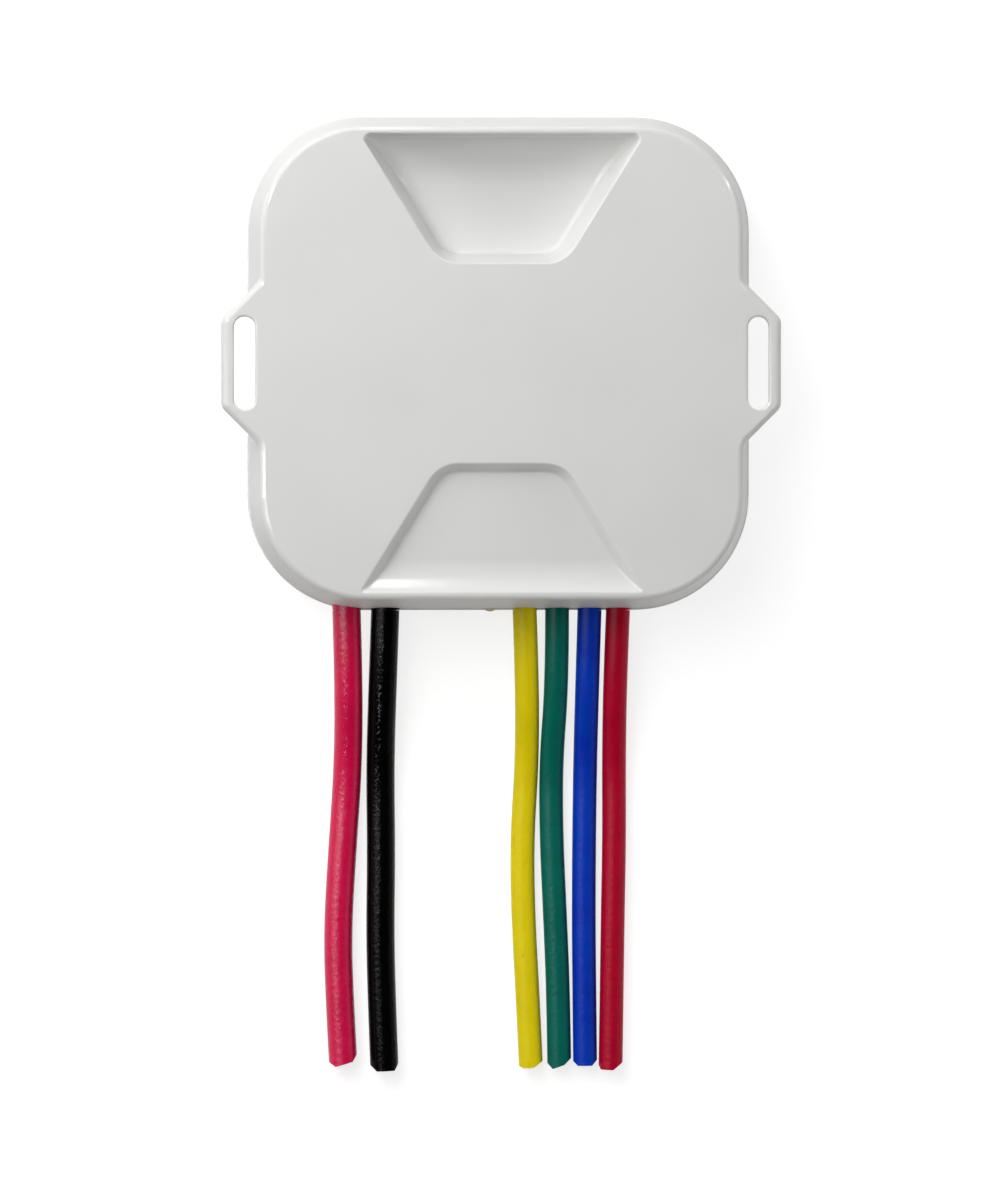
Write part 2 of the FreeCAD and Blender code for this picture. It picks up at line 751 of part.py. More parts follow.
def solder_joints():
    """A mound of solder over the stripped end of each lead, on the board's edge."""
    mounds = []
    for _, _, core, x, _ in LEADS:
        start = Vector(x, board_front_y + strip_gap, port_z)
        forwards = Vector(0, 1, 0)
        mound = Part.makeCylinder(core / 2 + solder_cover, solder_length, start, forwards)
        mound = mound.makeFillet(solder_cover / 2, [e for e in mound.Edges if len(e.Vertexes) == 1])
        mound = mound.cut(box((-rim_half_x, rim_half_x), (-rim_half_y, rim_half_y), (0, board_top_z)))
        core_end = Part.makeCylinder(core / 2 + core_clearance, 2 * solder_length, start, forwards)
        core_end.translate(Vector(0, -solder_length / 2, 0))
        mounds.append(mound.cut(core_end))
    return Part.makeCompound(mounds)


def chip(x, y, size, bottom):
    """A moulded package with bevelled upper edges."""
    body = block(x, y, size, bottom)
    upper = [e for e in body.Edges if e.BoundBox.ZMin > bottom + size[2] / 2]
    return body.makeChamfer(chip_bevel, upper)


def bent_pins(x, y, size, count, pitch, width, along_x):
    """Two rows of bent pins at opposite sides of a package."""
    pins = []
    shoulder = size[2] / 2
    half = (size[1] if along_x else size[0]) / 2
    foot = half + pin_reach
    knee = half + pin_reach / 2
    profile = [
        (half, shoulder), (knee, shoulder), (knee, 0), (foot, 0),
        (foot, pin_thickness), (knee + pin_thickness, pin_thickness),
        (knee + pin_thickness, shoulder + pin_thickness), (half, shoulder + pin_thickness),
    ]
    for row in (1, -1):
        for index in range(count):
            offset = (index - (count - 1) / 2) * pitch
            corners = [Vector(-width / 2, row * d, h) for d, h in profile]
            pin = Part.Face(Part.makePolygon(corners + corners[:1])).extrude(Vector(width, 0, 0))
            if not along_x:
                pin.rotate(Vector(0, 0, 0), Vector(0, 0, 1), 90)
            place = Vector(x + offset, y, board_top_z) if along_x else Vector(x, y + offset, board_top_z)
            pin.translate(place)
            pins.append(pin)
    return pins


def places_along(start, gap, widths):
    """Centres of pieces that stand side by side from a start, with one gap between them."""
    centres = []
    edge = start
    for width in widths:
        centres.append(edge + width / 2)
        edge += width + gap
    return centres


def power_row(pieces):
    """The row behind the leads: fuse, diode and one transistor for each output."""
    last_x = board_screw_x - board_screw_head_radius - chip_gap - mosfet_size[0] / 2
    tab_end_y = power_row_y + mosfet_size[1] / 2 + mosfet_tab_reach
    tab_y = tab_end_y - mosfet_tab[1] / 2
    pin_y = tab_end_y - mosfet_tab[1] - mosfet_pin_gap - mosfet_pin_length / 2
    pin_size = (mosfet_pin_width, mosfet_pin_length, mosfet_tab[2])
    resistor_y = tab_end_y + resistor_gap + resistor_size[1] / 2
    tabs = []
    resistors = []
    for index, lead in enumerate(reversed(OUTPUTS)):
        x = last_x - index * mosfet_pitch
        tabs.append(block(x, tab_y, mosfet_tab, board_top_z))
        for step in (-1, 1):
            tabs.append(block(x + step * mosfet_pin_pitch / 2, pin_y, pin_size, board_top_z))
        pieces["mosfet_" + lead[0]] = chip(x, power_row_y, mosfet_size, board_top_z + mosfet_tab[2])
        resistors.append(block(x, resistor_y, resistor_size, board_top_z))
    pieces["mosfet_tabs"] = Part.makeCompound(tabs)
    pieces["chip_resistors"] = Part.makeCompound(resistors)

    fuse_x = board_screw_head_radius + chip_gap + fuse_size[0] / 2 - board_screw_x
    middle = fuse_size[1] - 2 * fuse_cap_length
    pieces["fuse_body"] = block(fuse_x, power_row_y, (fuse_size[0], middle, fuse_size[2]), board_top_z)
    cap = (fuse_size[0], fuse_cap_length, fuse_size[2])
    cap_y = (middle + fuse_cap_length) / 2
    pieces["fuse_caps"] = Part.makeCompound(
        [block(fuse_x, power_row_y + step * cap_y, cap, board_top_z) for step in (1, -1)]
    )
    diode_x = fuse_x + fuse_size[0] / 2 + chip_gap + diode_size[0] / 2
    pieces["reverse_diode"] = chip(diode_x, power_row_y, diode_size, board_top_z + diode_tab_thickness)
    return end_tabs(diode_x, power_row_y, diode_size, diode_tab_width)


def end_tabs(x, y, size, width):
    """The two metal tabs under the ends of a diode."""
    length = diode_tab_bite + diode_tab_reach
    offset = size[1] / 2 + diode_tab_reach - length / 2
    tab = (width, length, diode_tab_thickness)
    return [block(x, y + step * offset, tab, board_top_z) for step in (1, -1)]


def supply_row(pieces):
    """The middle row: storage capacitor, inductor, regulator, driver and current shunt."""
    y = supply_row_y
    side = board_screw_x + board_screw_head_radius
    widths = [capacitor_foot[0], inductor_size[0], regulator_size[0], driver_size[0], shunt_size[0]]
    can_x, coil_x, regulator_x, driver_x, shunt_x = places_along(-side, chip_gap, widths)
    pieces["capacitor_base"] = capacitor_base(can_x, y)
    can_bottom = board_top_z + capacitor_foot[2]
    can_top = can_bottom + capacitor_height
    can = post(can_x, y, capacitor_radius, can_bottom, can_top)
    rim = [e for e in can.Edges if len(e.Vertexes) == 1 and e.BoundBox.Center.z > can_top - capacitor_crimp]
    pieces["capacitor_can"] = can.makeFillet(capacitor_crimp, rim)
    foot_z = board_top_z + inductor_foot[2]
    core = block(coil_x, y, inductor_size, foot_z)
    upright = [e for e in core.Edges if e.BoundBox.ZLength > inductor_size[2] / 2]
    pieces["power_inductor"] = core.makeChamfer(inductor_corner, upright)
    foot_x = inductor_size[0] / 2 - inductor_foot[0] / 2
    pieces["inductor_feet"] = Part.makeCompound(
        [block(coil_x + step * foot_x, y, inductor_foot, board_top_z) for step in (1, -1)]
    )
    pins = []
    for name, x, size, count in (
        ("voltage_regulator", regulator_x, regulator_size, 4),
        ("gate_driver", driver_x, driver_size, 7),
    ):
        pieces[name] = chip(x, y, size, board_top_z + pin_thickness)
        pins += bent_pins(x, y, size, count, pin_pitch, pin_width, True)
    pieces["current_shunt"] = block(shunt_x, y, shunt_size, board_top_z)
    ceramics = []
    for x in (regulator_x, driver_x - pin_pitch, driver_x + pin_pitch):
        ceramic_y = y + regulator_size[1] / 2 + pin_reach + resistor_gap + ceramic_size[1] / 2
        ceramics.append(block(x, ceramic_y, ceramic_size, board_top_z))
    pieces["chip_capacitors"] = Part.makeCompound(ceramics)
    return pins


def capacitor_base(x, y):
    """The square plastic base of the storage capacitor, with two corners cut off."""
    foot = block(x, y, capacitor_foot, board_top_z)
    cut = [
        e for e in foot.Edges
        if e.BoundBox.ZLength > capacitor_foot[2] / 2 and e.BoundBox.Center.x > x
    ]
    return foot.makeChamfer(inductor_corner, cut)


def control_row(pieces):
    """The rear part of the board: controller, crystal, surge suppressor and radio module."""
    y = control_row_y
    back = board_back_y - radio_board_gap
    radio_y = back - radio_board_size[1] / 2
    pieces["radio_board"] = block(0, radio_y, radio_board_size, board_top_z)
    radio_z = board_top_z + radio_board_size[2]
    shield_y = radio_y + (shield_size[1] - radio_board_size[1]) / 2 + shield_margin
    sides = (shield_size[0] - 2 * shield_sheet, shield_size[1] - 2 * shield_sheet)
    hollow = block(0, shield_y, sides + (shield_size[2] - shield_sheet,), radio_z)
    pieces["radio_shield"] = chip(0, shield_y, shield_size, radio_z).cut(hollow)
    antenna_y = back - shield_margin - antenna_size[1] / 2
    pieces["radio_antenna"] = block(0, antenna_y, antenna_size, radio_z)
    beside = radio_board_size[0] / 2 + pin_reach + chip_gap
    controller_x = beside + controller_size[0] / 2
    pieces["controller_chip"] = chip(controller_x, y, controller_size, board_top_z + pin_thickness)
    pins = []
    for along_x in (True, False):
        pins += bent_pins(controller_x, y, controller_size, 8, fine_pin_pitch, fine_pin_width, along_x)
    crystal_x = controller_x + controller_size[0] / 2 + pin_reach + chip_gap + crystal_size[0] / 2
    pieces["timing_crystal"] = chip(crystal_x, y, crystal_size, board_top_z)
    surge_x = -beside - surge_size[0] / 2
    pieces["surge_suppressor"] = chip(surge_x, y, surge_size, board_top_z + diode_tab_thickness)
    return pins, end_tabs(surge_x, y, surge_size, surge_tab_width)


def export(name, shape):
    """Write one named piece and print what it came to."""
    shape.exportStep(os.path.join("parts", name + ".step"))
    heights = [point.z for point in shape.tessellate(0.1)[0]]
    print(name, "solids", len(shape.Solids), "valid", shape.isValid(),
          "volume", round(shape.Volume, 2), "z", round(min(heights), 2), round(max(heights), 2))


def main():
    """Make every piece and write it."""
    os.makedirs("parts", exist_ok=True)
    pieces = {
        "front_cover": front_cover(),
        "rear_base": rear_base(),
        "cover_gasket": cover_gasket(),
        "circuit_board": circuit_board(),
        "lead_clamp": lead_clamp(),
        "lead_sealant": lead_sealant(),
        "solder_joints": solder_joints(),
    }
    pieces["case_screws"] = screws(
        corners_of(case_screw_x, case_screw_y), case_screw_sink + case_screw_head_height,
        case_screw_radius, case_screw_length, case_screw_head_radius, case_screw_head_height, True,
    )
    pieces["board_screws"] = screws(
        corners_of(board_screw_x, board_screw_y), board_top_z, board_screw_radius,
        board_thickness + board_screw_bite, board_screw_head_radius, board_screw_head_height,
    )
    pieces["clamp_screws"] = screws(
        [(x, clamp_middle_y) for x in clamp_screw_places()], port_z + clamp_gap + clamp_height,
        clamp_screw_radius, clamp_gap + clamp_height + clamp_screw_bite,
        clamp_screw_head_radius, clamp_screw_head_height,
    )
    free_cores = []
    inner_cores = []
    for lead in LEADS:
        pieces["lead_" + lead[0]], free_core = free_lead(lead)
        pieces["inner_lead_" + lead[0]], inner_core = inner_lead(lead)
        free_cores.append(free_core)
        inner_cores.append(inner_core)
    pieces["free_lead_cores"] = Part.makeCompound(free_cores)
    pieces["inner_lead_cores"] = Part.makeCompound(inner_cores)
    tabs = power_row(pieces)
    pins = supply_row(pieces)
    more_pins, more_tabs = control_row(pieces)
    pieces["chip_pins"] = Part.makeCompound(pins + more_pins)
    pieces["diode_tabs"] = Part.makeCompound(tabs + more_tabs)
    for name, shape in pieces.items():
        export(name, shape)


main()
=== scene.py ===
import bmesh
import bpy
import json
import math
from mathutils import Matrix, Vector


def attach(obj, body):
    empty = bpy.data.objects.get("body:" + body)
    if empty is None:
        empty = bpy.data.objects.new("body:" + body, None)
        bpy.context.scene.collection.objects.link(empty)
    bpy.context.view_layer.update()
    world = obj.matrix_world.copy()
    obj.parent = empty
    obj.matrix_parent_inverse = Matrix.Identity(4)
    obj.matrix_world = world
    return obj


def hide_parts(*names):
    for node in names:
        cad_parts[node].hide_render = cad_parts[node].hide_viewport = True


# A lighting control module on a pale floor, seen from nearly straight above. Lengths of the
# object are in mm, and MM turns them into the scene's metres.
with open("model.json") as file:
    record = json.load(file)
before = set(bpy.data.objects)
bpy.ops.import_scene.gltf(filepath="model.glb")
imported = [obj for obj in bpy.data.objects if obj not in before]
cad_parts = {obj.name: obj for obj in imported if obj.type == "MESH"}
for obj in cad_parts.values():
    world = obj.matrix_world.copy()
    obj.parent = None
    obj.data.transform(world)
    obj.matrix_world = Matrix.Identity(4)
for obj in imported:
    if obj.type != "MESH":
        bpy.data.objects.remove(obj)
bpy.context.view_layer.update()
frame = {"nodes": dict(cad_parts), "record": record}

MM = 0.001

# Camera, where the photograph was taken from
CAMERA_PLACE = Vector((-57.37, -6.02, 1517.70)) * MM
CAMERA_TARGET = Vector((-0.68, -32.17, 19.0)) * MM
CAMERA_LENS = 331.35

# Leads, in mm: the diameters of the insulation and of the core, where each lead leaves the front
# wall, where its straight stretch ends, and its route on the floor
WALL_Y = -33.75
EXIT_HEIGHT = 6.0
STRAIGHT_EXIT = 9.8
FLOOR_CLEARANCE = 0.02
THICK = (3.9, 2.3)
THIN = (3.3, 1.7)
LEADS = {
    "pink": (THICK, -20.8, -20.5,
             [(-20.5, -55.4), (-21.35, -67.6), (-21.95, -78.2), (-21.65, -87.8), (-21.15, -96.7)]),
    "black": (THICK, -15.5, -15.85,
              [(-16.1, -55.2), (-15.95, -67.2), (-16.1, -78.4), (-15.85, -88.2), (-15.5, -97.15)]),
    "yellow": (THIN, 3.6, 3.95,
               [(4.1, -54.6), (3.4, -65.5), (3.6, -76.4), (4.2, -87.0), (4.65, -96.8)]),
    "green": (THIN, 8.05, 8.05,
              [(7.4, -54.8), (7.45, -65.0), (7.95, -75.8), (8.4, -86.5), (8.55, -97.15)]),
    "blue": (THIN, 12.5, 12.2,
             [(12.1, -54.4), (11.95, -65.6), (11.9, -76.6), (12.0, -87.0), (12.1, -96.5)]),
    "red": (THIN, 16.4, 16.0,
            [(16.05, -54.2), (16.1, -65.0), (15.9, -75.9), (15.75, -86.8), (15.6, -97.15)]),
}
LINE_ORDER = 3
LINE_STEPS = 12
SECTION_STEPS = 12

# The stretches along Y that hold the open rims of a lead's two walls, in mm
RIM_STRETCHES = ((WALL_Y - 1, WALL_Y + 1), (-200, -90))

# How the cutters left each end: the turn of the main cut in degrees, then the two side cuts,
# left and right, each as its width across the lead and its height along it in mm
CUTS = {
    "pink": (13.5, (0.85, 0.68), (0.66, 0.98)),
    "black": (0, (0.85, 0.90), (0.60, 1.00)),
    "yellow": (0, (0.55, 0.35), (1.35, 0.90)),
    "green": (18.5, (0.70, 0.80), (1.00, 0.93)),
    "blue": (0, (0.60, 0.62), (0.75, 0.80)),
    "red": (-2, (0.30, 0.60), (1.35, 1.10)),
}
LEAST_CUT = 0.02
CUT_TOLERANCE = 1e-7

# Strands, in mm: round rods about a middle one, in rings of six. Each ring has its radius in
# radii of a strand and the angle of its first strand in degrees.
STRAND_LENGTH = 3.0
STRAND_SETBACK = 0.12
STRAND_SIDES = 10
STRANDS_ACROSS = 5
STRAND_RINGS = ((2, 0), (4, 0), (2 * math.sqrt(3), 30))
RING_TURNS = (0, 60, 120, 180, 240, 300)

# The bead of sealant: a stretched ball whose right end sags, in mm
BEAD_RADIUS = 0.45
BEAD_STRETCH = (1.7, 0.7, 0.8)
BEAD_SAG_FROM = 0.3
BEAD_SAG = (0.1, 0.1, -0.15)
BEAD_PLACE = (-1.1, WALL_Y + 0.1, 6.1)

# Edges that turn more than this many degrees stay sharp
SHARP_ANGLE = 35

# The floor: its size and its place under the module in metres, its grey, and its own light on
# top of what the lamps give it
FLOOR_HALF_SIZE = 3.0
FLOOR_DROP = 0.00005
FLOOR_GREY = 0.5
FLOOR_GLOW = 0.78

# Soft lights, as seen from the middle of the module: azimuth and elevation in degrees, distance
# and size in metres, power in watts, and whether the light shows in gloss
LIGHTS_AIM = Vector((0, -0.01, 0))
SOFT_LIGHTS = {
    "window": (125, 38, 0.45, 0.25, 0.47, True),
    "low_window": (107, 25, 0.45, 0.25, 0.27, False),
    "lamp": (140, 60, 0.38, 0.30, 0.93, False),
    "wall_bounce": (352, 17, 0.70, 0.40, 0.72, False),
}

# Strips of light that show in gloss only: azimuth, elevation, distance, height, power and
# width, in the same units
GLINT_STRIPS = {
    "lead_sheen": (195, 58, 0.45, 0.30, 0.28, 0.05),
    "left_glint": (182.2, 45, 0.45, 0.35, 0.45, 0.017),
    "corner_glint": (152, 45, 0.45, 0.35, 0.55, 0.022),
    "ramp_glint": (92, 30, 0.45, 0.20, 0.20, 0.03),
    "scoop_glint": (30, 45, 0.45, 0.35, 0.34, 0.03),
}

# The room round the module: its greys from low to high, and the heights, as the Z of a
# direction, over which the walls and the ceiling begin
ROOM_FOOT = 0.95
ROOM_WALLS = 0.52
ROOM_CEILING = 0.02
WALLS_BEGIN = (0.04, 0.12)
CEILING_BEGINS = (0.35, 0.45)


def link(name, data):
    """A new object for a mesh, curve, camera or light, at the origin."""
    piece = bpy.data.objects.new(name, data)
    bpy.context.scene.collection.objects.link(piece)
    return piece


def aim_camera():
    """The camera, with the leads towards the bottom of the picture."""
    data = bpy.data.cameras.new("photo_camera")
    data.lens = CAMERA_LENS
    camera = link("photo_camera", data)
    back = (CAMERA_PLACE - CAMERA_TARGET).normalized()
    right = Vector((0, 1, 0)).cross(back).normalized()
    up = back.cross(right)
    turn = Matrix((right, up, back)).transposed().to_4x4()
    camera.matrix_world = Matrix.Translation(CAMERA_PLACE) @ turn
    bpy.context.scene.camera = camera


def lead_points(name):
    """The control points of a lead's line."""
    (diameter, _), exit_x, straight_x, route = LEADS[name]
    rest = diameter / 2 + FLOOR_CLEARANCE
    points = [(exit_x, WALL_Y, EXIT_HEIGHT), (straight_x, WALL_Y - STRAIGHT_EXIT, EXIT_HEIGHT)]
    points += [(x, y, rest) for x, y in route]
    return [Vector(point) * MM for point in points]


def lead_line(name):
    """A lead's centre line as a curve object."""
    curve = bpy.data.curves.new(name + "_line", "CURVE")
    curve.dimensions = "3D"
    curve.resolution_u = LINE_STEPS
    points = lead_points(name)
    spline = curve.splines.new("NURBS")
    spline.points.add(len(points) - 1)
    for control, point in zip(spline.points, points):
        control.co = (point.x, point.y, point.z, 1)
    spline.order_u = LINE_ORDER
    spline.use_endpoint_u = True
    return link(name + "_line", curve)


def cut_planes(name, end, direction):
    """The cutters' planes at a lead's end, as (point, outward normal)."""
    (diameter, _), _, _, _ = LEADS[name]
    turn, left, right = CUTS[name]
    sideways = direction.cross(Vector((0, 0, 1))).normalized()
    if sideways.x < 0:
        sideways.negate()
    slope = math.tan(math.radians(turn))
    middle = end - direction * (diameter / 2 * abs(slope) + LEAST_CUT) * MM
    planes = [(middle, (direction + sideways * slope).normalized())]
    for side, (width, height) in ((-1, left), (1, right)):
        across = side * (diameter / 2 - width)
        corner = middle + (sideways * across - direction * across * slope) * MM
        planes.append((corner, (direction * width + sideways * side * height).normalized()))
    return planes


def cut_solid(bm, planes, setback=0.0):
    """Cut a closed bmesh by planes and close the cuts."""
    for point, normal in planes:
        everything = bm.verts[:] + bm.edges[:] + bm.faces[:]
        cut = bmesh.ops.bisect_plane(
            bm, geom=everything, dist=CUT_TOLERANCE, plane_co=point - normal * setback,
            plane_no=normal, clear_outer=True,
        )
        rim = [item for item in cut["geom_cut"] if isinstance(item, bmesh.types.BMEdge)]
        if rim:
            bmesh.ops.triangle_fill(bm, edges=rim, use_beauty=True, normal=normal)


def smooth_mesh(bm, name):
    """A mesh with smooth faces and sharp corners from a bmesh, which is freed."""
    bmesh.ops.recalc_face_normals(bm, faces=bm.faces[:])
    mesh = bpy.data.meshes.new(name)
    for face in bm.faces:
        face.smooth = True
    bm.to_mesh(mesh)
    bm.free()
    mesh.set_sharp_from_angle(angle=math.radians(SHARP_ANGLE))
    return mesh


def insulation_tube(name, line, planes):
    """A lead's insulation: an outer and an inner wall along its line, joined at both ends."""
    (diameter, core), _, _, _ = LEADS[name]
    bm = bmesh.new()
    for width, inward in ((diameter, False), (core, True)):
        line.data.bevel_depth = width / 2 * MM
        line.data.bevel_resolution = SECTION_STEPS
        wall = bpy.data.meshes.new_from_object(line)
        if inward:
            wall.flip_normals()
        bm.from_mesh(wall)
    open_rims = [edge for edge in bm.edges if edge.is_boundary]
    for low, high in RIM_STRETCHES:
        rim = [edge for edge in open_rims if low * MM < edge.verts[0].co.y < high * MM]
        bmesh.ops.bridge_loops(bm, edges=rim)
    cut_solid(bm, planes)
    return link("insulation_" + name, smooth_mesh(bm, "insulation_" + name))


def strand_bundle(name, end, direction, planes):
    """The strands of a lead's core, in its last few millimetres."""
    (_, core), _, _, _ = LEADS[name]
    radius = core / (2 * STRANDS_ACROSS) * MM
    turned = Vector((0, 0, 1)).rotation_difference(direction).to_matrix().to_4x4()
    middle = Matrix.Translation(end - direction * STRAND_LENGTH / 2 * MM) @ turned
    places = [(0, 0)]
    places += [(ring, turn + first) for ring, first in STRAND_RINGS for turn in RING_TURNS]
    bm = bmesh.new()
    for ring, angle in places:
        around = math.radians(angle)
        offset = Vector((math.cos(around), math.sin(around), 0)) * ring * radius
        bmesh.ops.create_cone(
            bm, cap_ends=True, segments=STRAND_SIDES, radius1=radius, radius2=radius,
            depth=STRAND_LENGTH * MM, matrix=middle @ Matrix.Translation(offset),
        )
    cut_solid(bm, planes, STRAND_SETBACK * MM)
    return link("strands_" + name, smooth_mesh(bm, "strands_" + name))


def make_lead(name):
    """A lead's insulation with its cut end, and the strands of its core in that end."""
    line = lead_line(name)
    path = [vertex.co.copy() for vertex in bpy.data.meshes.new_from_object(line).vertices]
    end = path[-1]
    direction = (path[-1] - path[-2]).normalized()
    planes = cut_planes(name, end, direction)
    tube = insulation_tube(name, line, planes)
    bpy.data.objects.remove(line)
    bundle = strand_bundle(name, end, direction, planes)

    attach(tube, "root")
    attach(bundle, "root")
    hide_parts("lead_" + name)
    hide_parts("free_lead_cores")
    return tube, bundle


aim_camera()
lead_pieces = {name: make_lead(name) for name in LEADS}


# Shader building blocks

# A colour mix node's sockets for its two colours and its result
MIX_FIRST, MIX_SECOND, MIX_RESULT = 6, 7, 2


def opaque(color):
    """A colour with full alpha."""
    return (*color, 1)


def grey(level):
    """A grey with full alpha."""
    return (level, level, level, 1)


def group_tree(name, inputs, outputs):
    """An empty node group with named sockets, and its ways in and out."""
    tree = bpy.data.node_groups.new(name, "ShaderNodeTree")
    for label, value in inputs.items():
        kind = "NodeSocketColor" if isinstance(value, tuple) else "NodeSocketFloat"
        socket = tree.interface.new_socket(label, in_out="INPUT", socket_type=kind)
        socket.default_value = value
    for label, kind in outputs.items():
        tree.interface.new_socket(label, in_out="OUTPUT", socket_type="NodeSocket" + kind)
    given = tree.nodes.new("NodeGroupInput").outputs
    return tree, given, tree.nodes.new("NodeGroupOutput").inputs


def feed(tree, socket, value):
    """Give a socket a link or a constant."""
    if isinstance(value, bpy.types.NodeSocket):
        tree.links.new(value, socket)
    else:
        socket.default_value = value


def calculate(tree, operation, first, second=0.0):
    """A math node's result."""
    node = tree.nodes.new("ShaderNodeMath")
    node.operation = operation
    feed(tree, node.inputs[0], first)
    feed(tree, node.inputs[1], second)
    return node.outputs[0]


def blend_colors(tree, factor, first, second):
    """A colour between two colours."""
    node = tree.nodes.new("ShaderNodeMix")
    node.data_type = "RGBA"
    feed(tree, node.inputs["Factor"], factor)
    feed(tree, node.inputs[MIX_FIRST], first)
    feed(tree, node.inputs[MIX_SECOND], second)
    return node.outputs[MIX_RESULT]


def stretch(tree, low, high, value):
    """A value carried smoothly from a range to 0..1."""
    node = tree.nodes.new("ShaderNodeMapRange")
    node.interpolation_type = "SMOOTHSTEP"
    feed(tree, node.inputs["Value"], value)
    feed(tree, node.inputs["From Min"], low)
    feed(tree, node.inputs["From Max"], high)
    return node.outputs["Result"]


def coordinates(tree, kind):
    """Texture coordinates of one kind."""
    return tree.nodes.new("ShaderNodeTexCoord").outputs[kind]


def object_vector(tree, squeeze=(1, 1, 1), shift=(0, 0, 0)):
    """Object coordinates, squeezed along some axes so that a pattern is drawn out there."""
    node = tree.nodes.new("ShaderNodeMapping")
    feed(tree, node.inputs["Vector"], coordinates(tree, "Object"))
    node.inputs["Location"].default_value = shift
    node.inputs["Scale"].default_value = squeeze
    return node.outputs["Vector"]


def component(tree, vector, axis):
    """A vector's part along an axis."""
    node = tree.nodes.new("ShaderNodeSeparateXYZ")
    feed(tree, node.inputs["Vector"], vector)
    return node.outputs[axis]


def noise(tree, vector, scale, detail=3.0, rough=0.5):
    """A noise value about 0.5."""
    node = tree.nodes.new("ShaderNodeTexNoise")
    feed(tree, node.inputs["Vector"], vector)
    feed(tree, node.inputs["Scale"], scale)
    node.inputs["Detail"].default_value = detail
    node.inputs["Roughness"].default_value = rough
    return node.outputs["Fac"]


def vary(tree, middle, pattern, spread):
    """A value that a pattern about 0.5 carries up and down."""
    centred = calculate(tree, "SUBTRACT", pattern, 0.5)
    return calculate(tree, "ADD", middle, calculate(tree, "MULTIPLY", centred, spread))


def peaks(tree, pattern, start, cover):
    """The peaks of a pattern as a mask. It starts lower, and shows more, as cover grows."""
    reach, softness = 0.4, 0.08
    edge = calculate(tree, "SUBTRACT", start, calculate(tree, "MULTIPLY", cover, reach))
    return stretch(tree, edge, calculate(tree, "ADD", edge, softness), pattern)


def build_moulded_skin():
    """Moulded plastic: faint flow marks in colour and gloss, and a fine uneven surface."""
    tree, given, result = group_tree(
        "moulded_skin",
        {"Color": (0.8, 0.8, 0.8, 1), "Flow Color": (0.7, 0.7, 0.7, 1), "Flow Scale": 60.0,
         "Roughness": 0.3, "Roughness Spread": 0.1, "Grain Scale": 1500.0, "Grain": 1.0,
         "Wave": 1.0},
        {"Color": "Color", "Roughness": "Float", "Height": "Float"},
    )
    flow_begins, flow_full = 0.35, 0.75
    haze_fineness, wave_scale = 3.0, 90.0
    place = object_vector(tree)
    flow = noise(tree, place, given["Flow Scale"], detail=2.0)
    marks = stretch(tree, flow_begins, flow_full, flow)
    feed(tree, result["Color"], blend_colors(tree, marks, given["Color"], given["Flow Color"]))
    haze_scale = calculate(tree, "MULTIPLY", given["Flow Scale"], haze_fineness)
    haze = noise(tree, place, haze_scale, detail=4.0)
    feed(tree, result["Roughness"],
         vary(tree, given["Roughness"], haze, given["Roughness Spread"]))
    fine = noise(tree, place, given["Grain Scale"], detail=2.0)
    grain = calculate(tree, "MULTIPLY", fine, given["Grain"])
    swell = noise(tree, place, wave_scale, detail=1.0)
    wave = calculate(tree, "MULTIPLY", swell, given["Wave"])
    feed(tree, result["Height"], calculate(tree, "ADD", grain, wave))
    return tree


def build_upright_walls():
    """The walls that stand nearly upright, as a mask."""
    tree, given, result = group_tree(
        "upright_walls", {"Fullest": 0.2, "Ends": 0.5}, {"Mask": "Float"},
    )
    lean = calculate(tree, "ABSOLUTE", component(tree, coordinates(tree, "Normal"), "Z"))
    feed(tree, result["Mask"], stretch(tree, given["Ends"], given["Fullest"], lean))
    return tree


def build_scuffs():
    """Small worn marks in patches, as a mask."""
    tree, given, result = group_tree(
        "scuffs", {"Scale": 300.0, "Cover": 0.3}, {"Mask": "Float"},
    )
    patch_scale, patch_begins, patch_full = 45.0, 0.42, 0.6
    drawn_out = object_vector(tree, squeeze=(1, 0.35, 1))
    marks = noise(tree, drawn_out, given["Scale"], detail=5.0, rough=0.65)
    elsewhere = object_vector(tree, squeeze=(1, 0.5, 1), shift=(3, 1, 2))
    patches = noise(tree, elsewhere, patch_scale, detail=2.0)
    found = peaks(tree, marks, start=0.78, cover=given["Cover"])
    worn = stretch(tree, patch_begins, patch_full, patches)
    feed(tree, result["Mask"], calculate(tree, "MULTIPLY", found, worn))
    return tree


def build_painted_glint_line():
    """Painted glints: fine bright specks along the upper left of a lead that runs along Y, on the
    side that faces the lamp, as a mask. They thin out away from the housing, as the lamp's
    highlight does."""
    tree, given, result = group_tree(
        "painted_glint_line", {"Scale": 2300.0, "Cover": 0.4}, {"Mask": "Float"},
    )
    band_low, band_left, band_right, band_high = -0.5, -0.25, -0.2, 0.0
    far_y, near_y, least = -0.085, -0.040, 0.2
    lean = component(tree, coordinates(tree, "Normal"), "X")
    rising = stretch(tree, band_low, band_left, lean)
    falling = stretch(tree, band_high, band_right, lean)
    band = calculate(tree, "MULTIPLY", rising, falling)
    drawn_out = object_vector(tree, squeeze=(1, 0.7, 1))
    specks = noise(tree, drawn_out, given["Scale"], detail=3.0, rough=0.7)
    shown = peaks(tree, specks, start=0.75, cover=given["Cover"])
    found = calculate(tree, "MULTIPLY", band, shown)
    nearness = stretch(tree, far_y, near_y, component(tree, object_vector(tree), "Y"))
    fading = calculate(tree, "ADD", least, calculate(tree, "MULTIPLY", nearness, 1 - least))
    feed(tree, result["Mask"], calculate(tree, "MULTIPLY", found, fading))
    return tree


